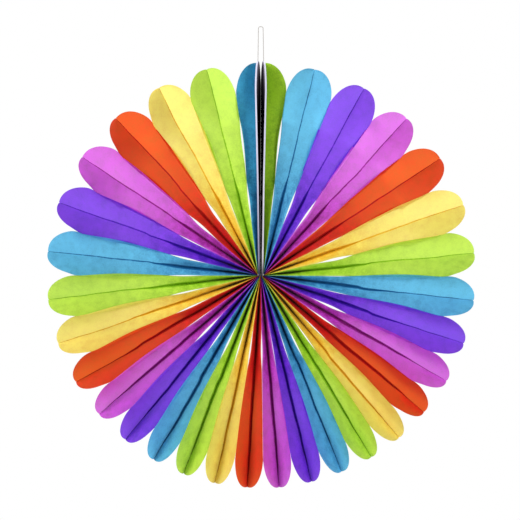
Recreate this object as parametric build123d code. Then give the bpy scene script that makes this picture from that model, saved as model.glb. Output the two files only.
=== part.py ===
"""A hanging paper fan rosette, opened all the way round.

A stack of folded tissue sheets lies between two white cards. The sheets meet at the hub and stand
round it like petals: each is creased along its middle, with the crease at the back and the two
halves rising to the front, where they are glued to the halves of their neighbours. The two cards
come face to face at the top, and a thread tied between their tips hangs the fan up.

Front is -Y, up is +Z. The origin is the inside top of the thread's loop.
"""

import math
import os

from build123d import *

# The fan
fan_radius = 250.0  # hub to the tip of a petal
petal_count = 30  # whole petals; one half petal more lies on each card
flattest_lean = 60.0  # degrees that the halves of the widest petal lean out from straight forward
hub_hole = 2.5  # the sheets stop this far short of the point they run towards
end_sheet_start = 12.0  # the two end sheets stop further out, clear of the cards

# How the fan opens: swing in degrees and lag in radians, for one, two and three waves per turn.
# The first wave is the weight that opens the folds at the top and closes those at the bottom.
opening_waves = [(1, 15.3, -0.03), (2, 0.74, 2.88), (3, 0.66, 2.97)]

# One half of a sheet, from the crease across
paper_thickness = 0.12
hub_width = 6.0  # at the hub
glue_start = 114.0  # from here outwards a sheet is glued to its neighbours
tip_length = 36.0  # the rounded end, beyond the glue
lobe_offset = 4.0  # the round of the end is centred this far from the crease, so it dips there
blank_spare = 1.0  # before its end is rounded, the sheet runs this far past the tip
trim_reach = 0.5  # the cut that rounds the end reaches this far on each side of the paper
glue_gap = 0.05  # from an edge or a face to the glue's middle

# Between the hub and the glue the sheets stand free, and shrink back from each other
neck_start = 59.0
neck_shrink = 0.13  # of the room from crease to ridge, where the gap is widest
stem_steps = 4  # sections drawn between the hub and the neck
neck_steps = 8  # sections drawn along the neck

# The end cards
card_thickness = 2.0
card_lean = 9.0  # degrees, so that the pair opens to the front
card_gap = 0.05  # between the backs of the pair
card_clearance = 0.15  # from a card to the nearest sheet at the hub
card_heel = 1.5  # how far the cards reach past the hub
card_round = 28.0  # length of the round that the back corner has
card_peak = 15.0  # the card's highest point is this far from its back edge

# The thread
thread_diameter = 0.8
thread_rise = 40.0  # from the petals' tips to the loop's inside
loop_width = 5.4  # between the thread's two strands at the loop
slit_width = 1.0  # in the top of each card
slit_depth = 4.0

glue_end = fan_radius - tip_length
share_count = petal_count + 1  # a half sheet before the first ridge and one after the last
lean = math.radians(card_lean)
hub_height = -(thread_rise + fan_radius)
fold_plane = card_peak * math.cos(lean) - card_thickness / 2 * math.sin(lean)  # the creases' Y

# The cards take up the middle of the hub, so the sheets run towards points beside and below it
hub_spread = card_gap / 2 + card_thickness / math.cos(lean) + hub_width * math.sin(lean) + card_clearance


def heading(share):
    """Degrees round from the top, clockwise, where that share of the stack has been laid out."""
    turn = 2 * math.pi * share
    angle = 360 * share
    for waves, swing, lag in opening_waves:
        angle += swing * (math.sin(waves * turn - lag) + math.sin(lag))
    return angle


def ridge(number):
    """The heading of the glued ridge after that many whole petals."""
    return heading((number + 0.5) / share_count)


def hub_shift(angle):
    """How far to the right of the hub's middle the line with that heading starts."""
    return hub_spread * math.cos(math.radians(angle / 2))


widest_petal = max(ridge(n + 1) - ridge(n) for n in range(petal_count))
edge_slope = math.tan(math.radians(widest_petal / 2)) / math.sin(math.radians(flattest_lean))


def half_width(along):
    """The width of one half of a flat sheet, crease to edge, that far from the hub."""
    if along < glue_start:
        return hub_width + (edge_slope * glue_start - hub_width) * along / glue_start
    return edge_slope * min(along, glue_end)


def neck(along):
    """The share of its room that a half sheet takes up, less than one where it stands free."""
    if not neck_start < along < glue_start:
        return 1.0
    return 1 - neck_shrink * math.sin(math.pi * (along - neck_start) / (glue_start - neck_start)) ** 2


def stations(start):
    """Where along the crease the sheet's section is drawn."""
    stem = [start + (neck_start - start) * i / stem_steps for i in range(stem_steps)]
    free = [neck_start + (glue_start - neck_start) * i / neck_steps for i in range(neck_steps)]
    glued = [glue_start, (glue_start + glue_end) / 2, glue_end, fan_radius + blank_spare]
    return stem + free + glued


def lean_to(crease_angle, crease_start, ridge_angle, ridge_start):
    """The lean of a half sheet, in radians, as a function of the distance along its crease.

    Its edge follows the line of the ridge, which starts at another point of the hub.
    """
    crease = math.radians(crease_angle)
    apart = ridge_start - crease_start
    aside = apart * math.cos(crease)
    ahead = apart * math.sin(crease)
    slope = math.tan(math.radians(ridge_angle - crease_angle))

    def lean_at(along):
        along = min(along, glue_end)
        room = abs(aside + (along - ahead) * slope) - glue_gap
        return math.asin(room * neck(along) / half_width(along))

    return lean_at


def section(along, left_lean, right_lean):
    """A sheet cut across its crease: a V, open to the front, as thick as the paper."""
    width = half_width(along)
    edge = []
    inside = []
    for side, tilt in ((1, right_lean), (-1, left_lean)):
        outer = Vector(side * width * math.sin(tilt), -width * math.cos(tilt))
        edge.append(outer)
        inside.append(outer + paper_thickness * Vector(-side * math.cos(tilt), -math.sin(tilt)))
    middle = (right_lean - left_lean) / 2
    depth = paper_thickness / math.sin((right_lean + left_lean) / 2)
    corner = Vector(depth * math.sin(middle), -depth * math.cos(middle))
    outline = Polyline((0, 0), edge[0], inside[0], corner, inside[1], edge[1], close=True)
    return Pos(0, 0, along) * make_face(outline)


def tip_waste(tilt):
    """What is trimmed from the half sheet that leans by that much, to round its end."""
    widest = half_width(glue_end)
    blank = Pos(widest, glue_end + tip_length) * Rectangle(2 * widest, 2 * tip_length)
    lobe = Pos(lobe_offset, glue_end) * Ellipse(widest - lobe_offset, tip_length)
    return Rot(0, 0, math.degrees(tilt) - 90) * extrude(Plane.XZ * (blank - lobe), trim_reach, both=True)


def folded_sheet(start, left_lean, right_lean):
    """One sheet, creased along +Z and open to the front."""
    sheet = loft([section(s, left_lean(s), right_lean(s)) for s in stations(start)], ruled=True)
    right_waste = tip_waste(right_lean(glue_end))
    left_waste = mirror(tip_waste(left_lean(glue_end)), about=Plane.YZ)
    return sheet - right_waste - left_waste


def petal(number):
    """A whole petal, between two ridges."""
    before, after = ridge(number - 1), ridge(number)
    angle = (before + after) / 2
    start = hub_shift(angle)
    left_lean = lean_to(angle, start, before, hub_shift(before))
    right_lean = lean_to(angle, start, after, hub_shift(after))
    sheet = folded_sheet(hub_hole, left_lean, right_lean)
    return Pos(start, fold_plane, hub_height) * Rot(0, angle, 0) * sheet


def end_petal(ridge_angle):
    """The sheet on the right-hand card: one half glued to the card, one running to the ridge."""
    off_card = card_thickness + glue_gap
    crease_x = card_gap / 2 + off_card * math.cos(lean)
    free_lean = lean_to(0, crease_x, ridge_angle, hub_shift(ridge_angle))
    sheet = folded_sheet(end_sheet_start, lambda along: -lean, free_lean)
    return Pos(crease_x, fold_plane + off_card * math.sin(lean), hub_height) * sheet


def card():
    """The right-hand card, with the outline of a half sheet, its back corner rounded."""
    widest = half_width(glue_end)
    shoulder = fan_radius - card_round
    back = Line((0, -card_heel), (0, shoulder))
    back_round = EllipticalCenterArc(
        (card_peak, shoulder), card_peak, card_round, start_angle=90, arc_size=90
    )
    front_round = EllipticalCenterArc(
        (card_peak, glue_end), widest - card_peak, tip_length, start_angle=0, arc_size=90
    )
    front = Polyline((widest, glue_end), (half_width(glue_start), glue_start), (hub_width, 0))
    heel = Polyline((hub_width, 0), (hub_width, -card_heel), (0, -card_heel))
    face = make_face([back, back_round, front_round, front, heel])
    slit = Pos(card_peak, fan_radius - slit_depth / 2) * Rectangle(slit_width, slit_depth)
    board = extrude(Plane.XZ * (face - slit), -card_thickness)
    return Pos(card_gap / 2, fold_plane, hub_height) * Rot(0, 0, card_lean - 90) * board


def hanging_thread():
    """The thread from the slit of one card up round the loop and down to the other."""
    foot_x = card_gap / 2 + card_peak * math.sin(lean) + card_thickness / 2 * math.cos(lean)
    foot_z = hub_height + fan_radius - slit_depth
    top_z = thread_diameter / 2
    route = [
        Vector(-foot_x, 0, foot_z),
        Vector(-loop_width / 2, 0, top_z),
        Vector(loop_width / 2, 0, top_z),
        Vector(foot_x, 0, foot_z),
    ]
    runs = [b - a for a, b in zip(route, route[1:])]
    radii = []
    for before, after in zip(runs, runs[1:]):
        half_turn = math.radians(before.get_angle(after)) / 2
        radii.append(0.45 * min(before.length, after.length) / math.tan(half_turn))
    print("thread radii", [round(r, 2) for r in radii])
    path = FilletPolyline(*route, radius=radii)
    tube = sweep(Plane(origin=path @ 0, z_dir=path % 0) * Circle(thread_diameter / 2), path=path)
    expected = math.pi * thread_diameter**2 / 4 * path.length
    print("thread length", round(path.length, 1), "volume", round(tube.volume, 2), "of", round(expected, 2))
    return tube


def build_nodes():
    nodes = {f"petal_{n:02d}": petal(n) for n in range(1, petal_count + 1)}
    nodes["end_petal_right"] = end_petal(ridge(0))
    nodes["end_petal_left"] = mirror(end_petal(360 - ridge(petal_count)), about=Plane.YZ)
    nodes["card_right"] = card()
    nodes["card_left"] = mirror(card(), about=Plane.YZ)
    nodes["hanging_thread"] = hanging_thread()
    return nodes


os.makedirs("parts", exist_ok=True)
for node, shape in build_nodes().items():
    export_step(shape, f"parts/{node}.step")
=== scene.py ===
# %% [markdown]
# # A hanging paper fan rosette
#
# The real thing is a stack of tissue sheets between two white cards. Each sheet is creased along its
# middle. The sheets are held together at the hub, and their front edges are glued in pairs, so that the
# stack opens like a concertina, all the way round, until the two cards meet at the top. A thread hangs it
# from their tips.
#
# This lesson builds the paper as thin folded sheets, one mesh for each sheet, and gives it a finish that
# lets light through from behind, because that glow is what makes tissue look like tissue.

# %% Load the frame
import math

import bpy
import numpy as np
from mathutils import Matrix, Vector, noise


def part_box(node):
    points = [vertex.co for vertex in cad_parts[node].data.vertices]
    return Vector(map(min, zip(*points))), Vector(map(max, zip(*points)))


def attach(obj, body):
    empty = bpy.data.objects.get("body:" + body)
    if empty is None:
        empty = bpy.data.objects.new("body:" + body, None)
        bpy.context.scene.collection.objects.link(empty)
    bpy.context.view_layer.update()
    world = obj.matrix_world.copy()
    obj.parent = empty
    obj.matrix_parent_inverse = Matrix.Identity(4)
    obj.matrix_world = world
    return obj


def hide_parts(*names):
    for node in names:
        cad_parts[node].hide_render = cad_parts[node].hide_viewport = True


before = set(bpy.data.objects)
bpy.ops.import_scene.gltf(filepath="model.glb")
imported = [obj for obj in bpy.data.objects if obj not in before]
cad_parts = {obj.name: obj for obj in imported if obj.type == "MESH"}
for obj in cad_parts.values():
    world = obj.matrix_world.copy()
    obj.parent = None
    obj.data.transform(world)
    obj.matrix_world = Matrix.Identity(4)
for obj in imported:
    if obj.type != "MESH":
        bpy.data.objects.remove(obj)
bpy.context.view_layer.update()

print("nodes in the frame:", len(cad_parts))

# %% [markdown]
# ## Sizes
#
# Everything is in metres, with the front towards -Y and the fan hanging from the origin. The cards give
# the hub and the tips: each runs from just below the hub to the fan's full radius. The opening of the fan
# repeats the law that the sheets were laid out by, so every sheet lands where its solid is.

# %% Sizes from the frame
MM = 0.001
card_low, card_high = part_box("card_right")
card_heel = 1.5 * MM
hub_height = card_low[2] + card_heel
fan_radius = card_high[2] - hub_height
fold_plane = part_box("petal_15")[1][1]

petal_count = sum(name.startswith("petal_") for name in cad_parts)
share_count = petal_count + 1
flattest_lean = 60.0
hub_hole = 2.5 * MM
hub_width = 6.0 * MM
glue_start = 114.0 * MM
glue_end = fan_radius - 36.0 * MM
tip_length = 36.0 * MM
neck_start = 59.0 * MM
neck_shrink = 0.07
card_lean = math.radians(9.0)
card_thickness = 2.0 * MM
card_gap = 0.05 * MM
card_clearance = 0.15 * MM
card_reach = card_thickness / math.cos(card_lean) + hub_width * math.sin(card_lean)
hub_spread = card_gap / 2 + card_reach + card_clearance
opening_waves = [(1, 15.3, -0.03), (2, 0.74, 2.88), (3, 0.66, 2.97)]
print("fan radius", round(fan_radius, 4), "hub height", round(hub_height, 4))
print("fold plane", round(fold_plane, 4))


def heading(share):
    """Degrees round from the top, clockwise, where that share of the stack has been laid out."""
    turn = 2 * math.pi * share
    angle = 360 * share
    for waves, swing, lag in opening_waves:
        angle += swing * (math.sin(waves * turn - lag) + math.sin(lag))
    return angle


def ridge(number):
    """The heading of the glued ridge after that many whole petals."""
    return heading((number + 0.5) / share_count)


def hub_shift(angle):
    """How far to the right of the hub's middle the line with that heading starts."""
    return hub_spread * math.cos(math.radians(angle / 2))


widest_petal = max(ridge(n + 1) - ridge(n) for n in range(petal_count))
edge_slope = math.tan(math.radians(widest_petal / 2)) / math.sin(math.radians(flattest_lean))
print("widest petal", round(widest_petal, 2), "degrees")

# %% [markdown]
# ## Camera, light and floor
#
# The fan is looked at straight from the front with a long lens, which keeps the petals on the left and
# right equally open. The world is plain white. A large soft lamp lights the front from the upper left, and
# a second one fills the shadows from the right. A third hangs above and behind. It shines on the backs of
# the petals' upper halves, and the light that comes through makes those the paler ones.

# %% Camera
lens = 100.0
sensor = 36.0
view_width = 0.607
view_centre = Vector((-0.9 * MM, 0.0, hub_height + 18.0 * MM))

camera_data = bpy.data.cameras.new("camera")
camera_data.lens = lens
camera_data.sensor_width = sensor
camera = bpy.data.objects.new("camera", camera_data)
bpy.context.collection.objects.link(camera)
camera.location = view_centre - Vector((0, view_width * lens / sensor, 0))
camera.rotation_euler = (math.pi / 2, 0, 0)
bpy.context.scene.camera = camera
bpy.context.scene.view_settings.view_transform = "Standard"
print("camera at", [round(x, 3) for x in camera.location])


# %% Lamps
def soft_lamp(name, place, size, watts, colour=(1, 1, 1)):
    """A square lamp that faces the fan's middle."""
    data = bpy.data.lights.new(name, "AREA")
    data.size = size
    data.energy = watts
    data.color = colour
    lamp = bpy.data.objects.new(name, data)
    bpy.context.collection.objects.link(lamp)
    lamp.location = place
    towards = Vector((0, 0, hub_height)) - lamp.location
    lamp.rotation_euler = towards.to_track_quat("-Z", "Y").to_euler()
    lamp.visible_camera = False


soft_lamp("front_lamp", (-1.5, -1.0, hub_height + 1.0), 1.0, 37)
soft_lamp("fill_lamp", (1.2, -1.4, hub_height + 0.1), 1.0, 18)
soft_lamp("back_lamp", (0.2, 0.38, hub_height + 0.9), 0.5, 11.0)

# %% World
world = bpy.data.worlds.new("studio")
bpy.context.scene.world = world
world.use_nodes = True
world_nodes = world.node_tree.nodes
world_links = world.node_tree.links
seen_level = 1.0
lighting_level = 0.30
background = world_nodes["Background"]
background.inputs["Color"].default_value = (1, 1, 1, 1)
light_path = world_nodes.new("ShaderNodeLightPath")
level = world_nodes.new("ShaderNodeMapRange")
level.inputs["To Min"].default_value = lighting_level
level.inputs["To Max"].default_value = seen_level
world_links.new(light_path.outputs["Is Camera Ray"], level.inputs["Value"])
world_links.new(level.outputs["Result"], background.inputs["Strength"])


# %% Floor
def floor_disc(radius, height, spokes=96):
    """A plain pale disc, well below the fan."""
    rim = [(radius * math.cos(2 * math.pi * k / spokes), radius * math.sin(2 * math.pi * k / spokes), height)
           for k in range(spokes)]
    mesh = bpy.data.meshes.new("floor")
    mesh.from_pydata(rim, [], [list(range(spokes))])
    disc = bpy.data.objects.new("floor", mesh)
    bpy.context.collection.objects.link(disc)
    return disc


floor_radius = 1.6
floor_drop = 0.62
floor = floor_disc(floor_radius, hub_height - floor_drop)

# %% [markdown]
# ## Writing materials as sums
#
# A material is a net of nodes. Written out link by link it is hard to read, so a small class stands for a
# value on a link, and sums and products of such values add the Math nodes. Every other node comes from one
# method, which takes its type, its settings and the values of its sockets.


# %% Materials as expressions
class Signal:
    """A value on a link of a material. Arithmetic on it adds Math nodes."""

    def __init__(self, finish, socket):
        self.finish = finish
        self.socket = socket

    def _sum(self, operation, first, second):
        return self.finish.node("Math", {"operation": operation}, {0: first, 1: second})

    def __add__(self, other):
        return self._sum("ADD", self, other)

    def __radd__(self, other):
        return self._sum("ADD", other, self)

    def __sub__(self, other):
        return self._sum("SUBTRACT", self, other)

    def __rsub__(self, other):
        return self._sum("SUBTRACT", other, self)

    def __mul__(self, other):
        return self._sum("MULTIPLY", self, other)

    def between(self, low, high):
        """0 below low, 1 above high, smooth between."""
        sockets = {"Value": self, "From Min": low, "From Max": high}
        return self.finish.node("MapRange", {"interpolation_type": "SMOOTHSTEP"}, sockets)


class Finish:
    """A material that is being written."""

    def __init__(self, name):
        self.material = bpy.data.materials.new(name)
        self.material.use_nodes = True
        self.tree = self.material.node_tree
        self.tree.nodes.clear()

    def node(self, kind, settings=None, sockets=None, result=0):
        """One node. Its settings are made first, then its sockets, by name or number."""
        made = self.tree.nodes.new("ShaderNode" + kind)
        for key, value in (settings or {}).items():
            setattr(made, key, value)
        for key, value in (sockets or {}).items():
            if isinstance(value, Signal):
                self.tree.links.new(value.socket, made.inputs[key])
            else:
                made.inputs[key].default_value = value
        return Signal(self, made.outputs[result]) if len(made.outputs) else None

    def blend(self, share, first, second):
        """A colour that goes from the first to the second as share goes from 0 to 1."""
        return self.node("Mix", {"data_type": "RGBA"}, {0: share, 6: first, 7: second}, 2)

    def noise(self, place, scale, detail=2.0, roughness=0.5, stretch=(1, 1, 1)):
        """Soft noise, from 0 to 1, that many lumps to a metre."""
        spread = self.node("Mapping", {}, {"Vector": place, "Scale": stretch})
        sockets = {"Vector": spread, "Scale": scale, "Detail": detail, "Roughness": roughness}
        return self.node("TexNoise", {}, sockets)

    def attribute(self, name):
        return self.node("Attribute", {"attribute_name": name}, result=2)

    def done(self, shader):
        self.node("OutputMaterial", {}, {"Surface": shader})
        return self.material


# %% [markdown]
# ## Tissue paper
#
# Dyed tissue is thin, matt and slightly cloudy: short fibres lie thicker in some places than in others.
# Light comes through it, and comes out lighter and warmer than the colour that it reflects. So its shader
# is a mix of a matt surface and a translucent one. Shade is painted into the colour: it goes deeper by the
# crease, on the groove facets, in narrow valleys and near the hub, less on the ridges there, and nearly
# black in the narrowest valleys by the hub. Less light comes through where shade is painted. Each petal
# mesh carries numbers for that: how far along the petal a point is, how far across, how far into the fold
# it sits, and how narrow its valley is. The two end sheets have a card behind them that keeps the light
# off, and that shade is painted in as deeper copies of the same dyes.


# %% Tissue finish
def tissue(name, fold_shade, plain, glow, through=0.44):
    """Tissue paper of one dye, with shade painted in. The three colours are the painted shade, the flat dye,
    and lit through.
    """
    finish = Finish(name)
    place = finish.node("TexCoord", result=3)
    along = finish.attribute("along")
    across = finish.attribute("across")
    fold = finish.attribute("fold")
    hollow = finish.attribute("hollow")

    cloud = finish.noise(place, 110.0, detail=4.0, roughness=0.6)
    fibre = finish.noise(place, 650.0, detail=3.0, roughness=0.7)
    # Painted shade: from the dye towards the first colour near the hub, by the crease, on the groove facets
    # and in narrow valleys, less on the ridges near the hub.
    near_hub = 1 - along.between(0.08, 0.8)
    crease_line = 1 - (across * along).between(0.004, 0.04)
    at_hub = 1 - along.between(0.06, 0.55)
    ridge_edge = across.between(0.72, 1.0)
    shade = near_hub * (0.62 - ridge_edge * 0.5) + fold * 0.5 + crease_line * 0.7 + hollow * 0.3
    mottle = (cloud - 0.5) * 1.6 + (fibre - 0.5) * 1.5
    shaded_mottled = finish.blend((shade + mottle * 0.9).between(-0.35, 1.0), plain, fold_shade)
    # Painted shade: the narrow valleys and the crease near the hub go nearly black.
    valley_shade = tuple(0.14 * c for c in fold_shade[:3]) + (1.0,)
    valley_shade_share = hollow * at_hub * 1.9 + crease_line * at_hub * 0.3
    colour = finish.blend(valley_shade_share.between(0.0, 1.0), shaded_mottled, valley_shade)

    wrinkle = finish.noise(place, 140.0, detail=4.0, roughness=0.6)
    height = wrinkle * 0.7 + fibre * 0.12
    bump = finish.node("Bump", {}, {"Strength": 0.4, "Distance": 0.0012, "Height": height})
    matt = finish.node("BsdfPrincipled", {}, {
        "Base Color": colour, "Roughness": 0.72 + (fibre - 0.5) * 0.2, "Normal": bump,
        "Specular IOR Level": 0.25,
    })
    lit_through = finish.node("BsdfTranslucent", {}, {"Color": glow})
    # Less light comes through where shade is painted.
    share = (1 - (shade + hollow).between(0.0, 0.6)) * through + mottle * 0.12
    return finish.done(finish.node("MixShader", {}, {0: share, 1: matt, 2: lit_through}))


def ink(red, green, blue):
    """A colour from screen values of 0 to 255."""
    return tuple((c / 255) ** 2.2 for c in (red, green, blue)) + (1.0,)


# For each dye: the painted shade colour, the colour on the flat, and the colour lit through.
dyes = {
    "green": tissue("green_tissue", ink(118, 170, 8), ink(188, 228, 68), ink(202, 232, 110)),
    "blue": tissue("blue_tissue", ink(8, 86, 138), ink(88, 176, 220), ink(120, 205, 238)),
    "purple": tissue("purple_tissue", ink(52, 0, 150), ink(126, 54, 224), ink(150, 108, 240)),
    "pink": tissue("pink_tissue", ink(122, 0, 105), ink(204, 68, 212), ink(235, 150, 240)),
    "red": tissue("red_tissue", ink(155, 2, 8), ink(218, 26, 20), ink(248, 130, 58)),
    "yellow": tissue("yellow_tissue", ink(216, 160, 24), ink(240, 220, 92), ink(252, 240, 150)),
}
dye_order = ["green", "blue", "purple", "pink", "red", "yellow"]
# The end sheets: deeper copies of the same dyes that let little through, painted shade for the card that
# keeps the light off from behind.
end_tissues_in_shade = {
    "green": tissue("green_end_tissue", ink(84, 128, 0), ink(150, 192, 40), ink(150, 190, 60), through=0.1),
    "blue": tissue("blue_end_tissue", ink(8, 80, 125), ink(66, 164, 204), ink(80, 165, 205), through=0.1),
}
print("tissue finishes:", len(dyes) + len(end_tissues_in_shade))

# %% [markdown]
# ## The shape of one sheet
#
# Laid flat, half a sheet is a narrow paddle: it widens slowly from the hub to where the glue starts, faster
# to where the glue ends, and then comes to a round end. Along the glued stretch a strip of the edge is
# turned forward and stuck to the same strip of the next sheet. The two stuck strips lean over together.


# %% The flat sheet
strip_width = 4.2 * MM
lobe_offset = 2.5 * MM


def ramp(value, low, high):
    """0 below low, 1 above high, smooth between."""
    t = min(max((value - low) / (high - low), 0.0), 1.0)
    return t * t * (3 - 2 * t)


def half_width(along):
    """The width of one half of a flat sheet, crease to edge, that far from the hub."""
    if along < glue_start:
        return hub_width + (edge_slope * glue_start - hub_width) * along / glue_start
    widest = edge_slope * glue_end
    if along < glue_end:
        return edge_slope * along
    rise = min((along - glue_end) / tip_length, 1.0)
    return lobe_offset + (widest - lobe_offset) * math.sqrt(1 - rise * rise)


def strip(along):
    """How wide the glued strip is."""
    grows = ramp(along, glue_start - 30 * MM, glue_start + 50 * MM)
    fades = 1 - ramp(along, glue_end - 50 * MM, glue_end + 18 * MM)
    return strip_width * grows * fades


looseness = np.random.default_rng(11).uniform(0.1, 2.2, petal_count + 1)


def neck(along, loose):
    """The share of its room that a half sheet takes up, less than one where it stands free."""
    if not neck_start < along < glue_start:
        return 1.0
    middle = math.sin(math.pi * (along - neck_start) / (glue_start - neck_start)) ** 2
    return 1 - neck_shrink * loose * middle


# %% [markdown]
# ## Folding it
#
# Cut across its crease, an open sheet is a V. Near the hub the stack squeezes the V shut, and the paper
# answers with a second, softer fold on each side of the crease: a narrow steep groove in the middle, with a
# flatter wing beyond it. The groove narrows outwards and ends in a point. How wide it can be follows from
# how much paper there is to spare, so the tightly closed petals at the bottom get a wide groove and the
# wide open ones at the top hardly any.

# %% Cross-section
groove_columns = 4
groove_edge = 0.012
wing_columns = 11
strip_columns = 3
groove_steepness = 0.58
flattest_reach = 0.985


def wing_path(paper, room, groove, steep, bow, count):
    """Where paper that wide lies, sideways and forward, when its far edge stands that far aside.

    It starts with a groove of the lean steep; beyond it the wing's lean is found by trial, halving the step.
    """
    share = np.concatenate([
        np.linspace(0, groove, groove_columns + 1),
        np.linspace(groove + groove_edge, 1, count + 1),
    ])
    middle = (share[1:] + share[:-1]) / 2
    step = np.diff(share) * paper
    in_wing = np.clip((middle - groove) / max(1 - groove, 1e-6), 0, 1)
    low, high = 0.0, math.pi / 2
    for _ in range(22):
        lean = (low + high) / 2
        leans = np.where(middle < groove, min(steep, lean), lean + bow * (in_wing - 0.5))
        if np.sum(step * np.sin(leans)) < room:
            low = lean
        else:
            high = lean
    aside = np.concatenate([[0], np.cumsum(step * np.sin(leans))])
    ahead = np.concatenate([[0], np.cumsum(step * np.cos(leans))])
    return aside, ahead, leans[-1]


# %% [markdown]
# ## One petal mesh
#
# The mesh is a grid. Its columns run from the left edge over the crease to the right edge, its rows from
# the hub to the tip. Seeded noise makes the crease wander, dents the wings a little and turns the tip.

# %% Petal
stem_rows = 16
neck_rows = 22
glued_rows = 34
tip_rows = 24
noise_spread = 7.31


def rows(first):
    """Distances from the hub, closer together in the neck and round the tip."""
    stem = np.linspace(first, neck_start, stem_rows, endpoint=False)
    free = np.linspace(neck_start, glue_start, neck_rows, endpoint=False)
    glued = np.linspace(glue_start, glue_end, glued_rows, endpoint=False)
    turn = np.linspace(0, math.pi / 2, tip_rows)
    return np.concatenate([stem, free, glued, glue_end + tip_length * np.sin(turn)])


def soft_noise(seed, along, across, lumps):
    """Smooth noise from about -1 to 1 over a sheet."""
    return noise.noise(Vector((along * lumps, across * lumps, seed * noise_spread)))


# %% One petal's own values
class Petal:
    """What is particular to one petal: where it lies and how its paper has settled."""

    def __init__(self, number, before, after):
        self.number = number
        self.before = before
        self.after = after
        self.angle = (before + after) / 2
        self.start = hub_shift(self.angle)
        self.plane = fold_plane
        self.first = hub_hole * 0.3
        self.card_side = 0
        chance = np.random.default_rng(100 + number)
        closed = 1 - (after - before) / widest_petal
        self.groove_share = chance.uniform(0.28, 0.5, 2)
        self.groove_end = (0.64 + 0.85 * closed + chance.uniform(-0.07, 0.07, 2)) * fan_radius
        self.bow = chance.uniform(0.15, 0.35)
        self.curl = chance.uniform(-1.0, 1.0)
        self.tilt_tip = chance.uniform(-0.05, 0.05)
        self.kink = chance.uniform(-1.8, 1.8) * MM
        self.kink_at = chance.uniform(0.42, 0.68) * fan_radius

    def loose(self, side):
        """How loosely the ridge on that side stands in the neck."""
        ridge_number = self.number - 1 if side < 0 else self.number
        return looseness[min(max(ridge_number, 0), petal_count)]

    def room(self, side, along):
        """From the crease to the ridge on that side, measured across."""
        angle = self.after if side > 0 else self.before
        apart = hub_shift(angle) - self.start
        crease = math.radians(self.angle)
        aside = apart * math.cos(crease)
        ahead = apart * math.sin(crease)
        along = min(along, glue_end)
        return abs(aside + (along - ahead) * math.tan(math.radians(angle - self.angle)))

    def up_side(self):
        """1 where the clockwise edge is the upper one, -1 where it is the lower one."""
        return 1 if self.angle > 180 else -1


# %% Half a section
stand_off = 0.10 * MM  # by which each sheet stays clear of its neighbour
upper_swell = 0.09  # by which the free end of a petal's upper half is wider
groove_limit = 0.85  # share of the widest groove that the paper allows
crease_groove = 0.02  # even where the wings are flat, the crease itself stays folded
strip_lean_share = 0.62
steepest_strip = 1.25
# The hollow mark is painted shade; a half that reaches further aside than open_reach gets none.
open_reach = 0.66  # a half that reaches further aside than this has no dark hollow
closed_by = 0.4


def half_section(petal, side, along):
    """Half a sheet cut across: its points, sideways and forward, and the marks from which the finish paints
    shade.
    """
    width = half_width(along)
    glued = strip(along)
    free_tip = ramp(along, glue_end - 10 * MM, glue_end + 12 * MM)
    room = petal.room(side, along) * neck(along, petal.loose(side))
    room -= stand_off * ramp(along, 0.2 * fan_radius, 0.5 * fan_radius)
    room *= min(half_width(along) / half_width(min(along, glue_end)), 1)
    upper = side * petal.up_side() * abs(math.sin(math.radians(petal.angle)))
    lobe = 1 + free_tip * (upper_swell * upper + petal.tilt_tip * side)
    paper = width - glued
    reach = min(room * lobe / paper, flattest_reach)
    steep = groove_steepness * math.asin(reach)
    widest_groove = (flattest_reach - reach) / (flattest_reach - math.sin(steep))
    groove_end = petal.groove_end[0 if side < 0 else 1]
    fade = min(max((groove_end - along) / (groove_end - neck_start), 0.0), 1.0) ** 0.7
    groove = min(petal.groove_share[0 if side < 0 else 1], groove_limit * widest_groove) * fade
    groove = max(groove, crease_groove)
    aside, ahead, last_lean = wing_path(paper, reach * paper, groove, steep, petal.bow, wing_columns)

    ridge_heading = petal.after if side > 0 else petal.before
    side_share = abs(math.sin(math.radians(ridge_heading)))
    strip_lean = strip_lean_share * min(last_lean, steepest_strip) * min(side_share * 2.5, 1.0)
    towards_top = -1 if ridge_heading < 180 else 1
    points = [(side * a, -f) for a, f in zip(aside, ahead)]
    for k in range(1, strip_columns + 1):
        out = glued * k / strip_columns
        points.append((side * aside[-1] + towards_top * math.sin(strip_lean) * out,
                       -ahead[-1] - math.cos(strip_lean) * out))

    spread = list(np.concatenate([[0], np.cumsum(np.hypot(np.diff(aside), np.diff(ahead)))]) / width)
    spread += [spread[-1] + (1 - spread[-1]) * k / strip_columns for k in range(1, strip_columns + 1)]
    # Marks for painted shade: the groove facets get the fold shade, and the part by the crease of a narrow
    # valley the hollow shade.
    fold_shade = ramp(groove, 0.02, 0.13)
    narrow = min(max((open_reach - reach) / closed_by, 0.0), 1.0)
    marks = [(share, fold_shade if k <= groove_columns else 0.0, narrow * max(1 - 1.2 * share ** 1.6, 0.0))
             for k, share in enumerate(spread)]
    return points, marks


def glued_half(side, along):
    """The half of an end sheet that lies flat on its card."""
    count = groove_columns + 1 + wing_columns + strip_columns
    shares = [k / count for k in range(count + 1)]
    width = half_width(along)
    points = [(-side * width * k * math.sin(card_lean), -width * k * math.cos(card_lean)) for k in shares]
    return points, [(k, 0.0, 0.0) for k in shares]


def petal_points(petal):
    """The grid of points, with the marks of each."""
    grid, marks = [], []
    for along in rows(petal.first):
        row = {}
        for side in (-1, 1):
            if side == petal.card_side:
                row[side] = glued_half(side, along)
            else:
                row[side] = half_section(petal, side, along)
        grid.append((along, row[-1][0][::-1] + row[1][0][1:]))
        marks.append((along / fan_radius, row[-1][1][::-1] + row[1][1][1:]))
    return grid, marks


# %% Handled paper
wander_size, wander_lumps = 0.9 * MM, 22.0
quiver_size, quiver_lumps = 0.5 * MM, 60.0
dent_size, dent_lumps = 0.9 * MM, 34.0
tip_curl = 3.0 * MM
notch_depth = 0.9 * MM


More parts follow.
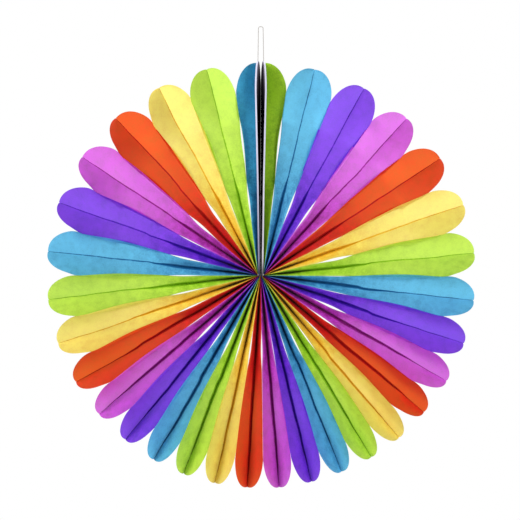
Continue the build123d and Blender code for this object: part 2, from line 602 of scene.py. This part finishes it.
def settle(petal, grid, marks):
    """Moves the folded grid a little, as paper that has been handled, and puts it in its place."""
    crease = math.radians(petal.angle)
    sideways = Vector((math.cos(crease), 0, -math.sin(crease)))
    outwards = Vector((math.sin(crease), 0, math.cos(crease)))
    origin = Vector((petal.start, petal.plane, hub_height))
    points = []
    for (along, line), (share, across) in zip(grid, marks):
        loose = ramp(along, 20 * MM, 110 * MM)
        wander = wander_size * loose * soft_noise(petal.number, along, 0.0, wander_lumps)
        wander += quiver_size * loose * soft_noise(petal.number + 40, along, 0.0, quiver_lumps)
        kinked = ramp(along, petal.kink_at - 5 * MM, petal.kink_at + 5 * MM)
        wander += petal.kink * kinked * (1 - ramp(along, petal.kink_at + 10 * MM, petal.kink_at + 90 * MM))
        curl = tip_curl * petal.curl * ramp(along, 0.72 * fan_radius, fan_radius) ** 2
        notch = notch_depth * ramp(along, glue_end, fan_radius)
        for (aside, ahead), (spread, *_) in zip(line, across):
            if aside * petal.card_side < 0 or (petal.card_side and aside == 0):
                points.append(origin + outwards * along + sideways * aside + Vector((0, ahead, 0)))
                continue
            inner = max(1 - spread, 0.0)
            dent_place = spread * 0.03 + (aside > 0)
            dent = dent_size * loose * soft_noise(petal.number + 80, along, dent_place, dent_lumps)
            dent *= math.sin(math.pi * min(spread, 1.0)) if along < glue_end else inner
            edge_curl = curl * (0.4 + 0.6 * spread)
            place = origin + outwards * (along - notch * inner ** 6)
            place += sideways * (aside + wander * inner)
            place.y += ahead + dent + edge_curl
            points.append(place)
    return points


# %% Sheet mesh
def sheet_mesh(name, points, across_count, marks):
    """A smooth-shaded grid mesh that keeps its crease sharp and carries its marks."""
    lines = len(points) // across_count
    faces = []
    for i in range(lines - 1):
        for j in range(across_count - 1):
            first = i * across_count + j
            faces.append((first, first + 1, first + 1 + across_count, first + across_count))
    mesh = bpy.data.meshes.new(name)
    mesh.from_pydata([tuple(p) for p in points], [], faces)
    values = {
        "along": [share for share, line in marks for _ in line],
        "across": [point[0] for _, line in marks for point in line],
        "fold": [point[1] for _, line in marks for point in line],
        "hollow": [point[2] for _, line in marks for point in line],
    }
    for mark, numbers in values.items():
        mesh.attributes.new(mark, "FLOAT", "POINT").data.foreach_set("value", numbers)
    mesh.shade_smooth()
    middle = across_count // 2
    crease = {i * across_count + middle for i in range(lines)}
    strip_roots = (strip_columns, across_count - 1 - strip_columns)
    root = {i * across_count + j for i in range(lines) for j in strip_roots}
    sharp = [set(edge.vertices) <= crease or set(edge.vertices) <= root for edge in mesh.edges]
    mesh.attributes.new("sharp_edge", "BOOLEAN", "EDGE").data.foreach_set("value", sharp)
    piece = bpy.data.objects.new(name, mesh)
    bpy.context.collection.objects.link(piece)
    return piece


# %% Make the petals
def place_sheet(name, petal, dye, node):
    """Makes one petal's mesh, in place of its CAD node."""
    grid, marks = petal_points(petal)
    piece = sheet_mesh(name, settle(petal, grid, marks), len(grid[0][1]), marks)
    piece.data.materials.append(end_tissues_in_shade[dye] if petal.card_side else dyes[dye])
    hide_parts(node)
    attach(piece, "root")
    return piece


for number in range(1, petal_count + 1):
    petal = Petal(number, ridge(number - 1), ridge(number))
    place_sheet(f"tissue_{number:02d}", petal, dye_order[number % 6], f"petal_{number:02d}")
print("petals made:", petal_count)

# %% [markdown]
# ## The two end sheets
#
# The first and the last sheet of the stack are half hidden. One half of each is glued flat on the outside
# of its card, and the other half runs free to the first glued ridge. They use the same section as the
# petals for the free half, and a straight one for the glued half.

# %% End sheets
end_sheet_start = 1.5 * MM
glue_gap = 0.05 * MM
off_card = card_thickness + glue_gap

for side, word, dye in ((1, "right", "green"), (-1, "left", "blue")):
    if side > 0:
        end = Petal(0, 0.0, ridge(0))
        end.angle = 0.0
    else:
        end = Petal(petal_count + 1, ridge(petal_count), 360.0)
        end.angle = 360.0
    end.card_side = -side
    end.start = side * (card_gap / 2 + off_card * math.cos(card_lean))
    end.plane = fold_plane + off_card * math.sin(card_lean)
    end.first = end_sheet_start
    end.groove_share = np.array([0.3, 0.3])
    end.groove_end = np.array([0.5, 0.5]) * fan_radius
    place_sheet(f"end_tissue_{word}", end, dye, f"end_petal_{word}")
print("end sheets made: 2")

# %% [markdown]
# ## The cards
#
# The cards are the solids of the frame, which have the right shape, so they stay and only get a finish.
# Each is a stiff board, white on its edges. Shade is painted on the faces that look into the slot between
# the cards: they are almost black, lighter towards the tip. The finish finds that face by its distance from
# the slot's side, which is a sum over the point's place. Near the hub shade is painted too: the board goes
# almost black at the hub itself, and the left card is greyer and bluer. Board has a fine grain and slightly
# worn, greyer edges.


# %% Card finish
def board(name, side, low_edge):
    """White board with shade painted on its face in the slot, lighter towards the tip, and painted shade
    near the hub.
    """
    finish = Finish(name)
    place = finish.node("TexCoord", result=3)
    split = finish.node("SeparateXYZ", {}, {"Vector": place})
    x, y, z = (Signal(finish, split.socket.node.outputs[k]) for k in range(3))
    depth = (x * side - card_gap / 2) * math.cos(card_lean) + (y - fold_plane) * math.sin(card_lean)
    # Painted shade: the face in the slot is almost black, lighter towards the tip.
    slot_shade_mask = 1 - depth.between(0.05 * MM, 0.2 * MM)
    near_tip = z.between(hub_height + 0.75 * fan_radius, hub_height + fan_radius)

    grain = finish.noise(place, 700.0, detail=3.0, roughness=0.65)
    layers = finish.noise(place, 260.0, detail=2.0, stretch=(1.0, 1.0, 0.12))
    wear = (grain - 0.5) * 0.5 + (layers - 0.5) * 0.6
    # Painted tone near the hub: low_edge, a greyer and bluer painted shade on the left card.
    towards_hub = 1 - z.between(hub_height + 0.02 * fan_radius, hub_height + 0.7 * fan_radius)
    clean = finish.blend(towards_hub, ink(214, 212, 232), low_edge)
    worn = finish.blend((wear + 0.3).between(0.0, 1.0), clean, ink(168, 166, 190))
    # Painted shade: almost black at the hub itself.
    at_hub = 1 - z.between(hub_height, hub_height + 0.1 * fan_radius)
    white = finish.blend(at_hub * 0.85, worn, ink(34, 32, 44))
    # The painted slot shade, lighter towards the tip.
    dark = finish.blend(near_tip, ink(12, 10, 16), ink(120, 114, 126))
    colour = finish.blend(slot_shade_mask, white, dark)
    bump = finish.node("Bump", {}, {"Strength": 0.3, "Distance": 0.0004, "Height": grain})
    matt = finish.node("BsdfPrincipled", {}, {
        "Base Color": colour, "Roughness": 0.78 + (grain - 0.5) * 0.15, "Normal": bump,
        "Specular IOR Level": 0.0,
    })
    return finish.done(matt)


# low_edge is each card's painted tone near the hub: near white on the right, painted shade on the left.
for side, word, low_edge in ((1, "right", ink(205, 200, 200)), (-1, "left", ink(118, 118, 142))):
    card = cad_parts[f"card_{word}"]
    finish = board(f"white_card_{word}", side, low_edge)
    for material_slot in card.material_slots:
        material_slot.material = finish
print("cards finished: 2")

# %% [markdown]
# ## The thread
#
# A cotton thread goes through the slit in one card's tip, up, over the hook and down to the other card. It
# carries the fan's weight, so its two strands are straight and only the loop is round. A NURBS curve of
# order 3 draws that from a few points, with one more on each strand close below the loop, and the ply of
# the thread is a slanted wave in its bump.

# %% Thread finish
thread_diameter = 0.8 * MM


def cotton(name):
    """Off-white twisted cotton."""
    finish = Finish(name)
    place = finish.node("TexCoord", result=3)
    fluff = finish.noise(place, 1500.0, detail=2.0)
    ply = finish.node("TexWave", {"bands_direction": "DIAGONAL"}, {
        "Vector": place, "Scale": 450.0, "Distortion": 1.5, "Detail": 1.0,
    }, 1)
    colour = finish.blend(ply * 0.6 + fluff * 0.4, ink(128, 120, 114), ink(206, 200, 196))
    bump = finish.node("Bump", {}, {"Strength": 0.6, "Distance": 0.0002, "Height": ply})
    matt = finish.node("BsdfPrincipled", {}, {
        "Base Color": colour, "Roughness": 0.85, "Normal": bump, "Sheen Weight": 0.15,
    })
    return finish.done(matt)


# %% Thread
card_peak = 15.0 * MM
strand_foot = card_gap / 2 + card_peak * math.sin(card_lean) + card_thickness / 2 * math.cos(card_lean)
loop_half = 2.7 * MM
loop_top = 0.4 * MM
foot_z = -44.0 * MM
straight_below = 4.8 * MM


def on_strand(down):
    """How far aside a strand is, that far below the loop's corner."""
    return loop_half + (strand_foot - loop_half) * down / (loop_top - foot_z)


route = [
    (-strand_foot, 0, foot_z), (-on_strand(straight_below), 0, loop_top - straight_below),
    (-loop_half, 0, loop_top), (loop_half, 0, loop_top),
    (on_strand(straight_below), 0, loop_top - straight_below), (strand_foot, 0, foot_z),
]
thread_curve = bpy.data.curves.new("thread_loop", "CURVE")
thread_curve.dimensions = "3D"
spline = thread_curve.splines.new("NURBS")
spline.points.add(len(route) - 1)
for point, place in zip(spline.points, route):
    point.co = (*place, 1.0)
spline.order_u = 3
spline.use_endpoint_u = True
spline.resolution_u = 24
thread_curve.bevel_depth = thread_diameter / 2
thread_curve.bevel_resolution = 4
thread_curve.use_fill_caps = True
thread = bpy.data.objects.new("thread_loop", thread_curve)
bpy.context.collection.objects.link(thread)
thread.data.materials.append(cotton("cotton_thread"))
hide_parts("hanging_thread")
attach(thread, "root")
print("thread points:", len(route))
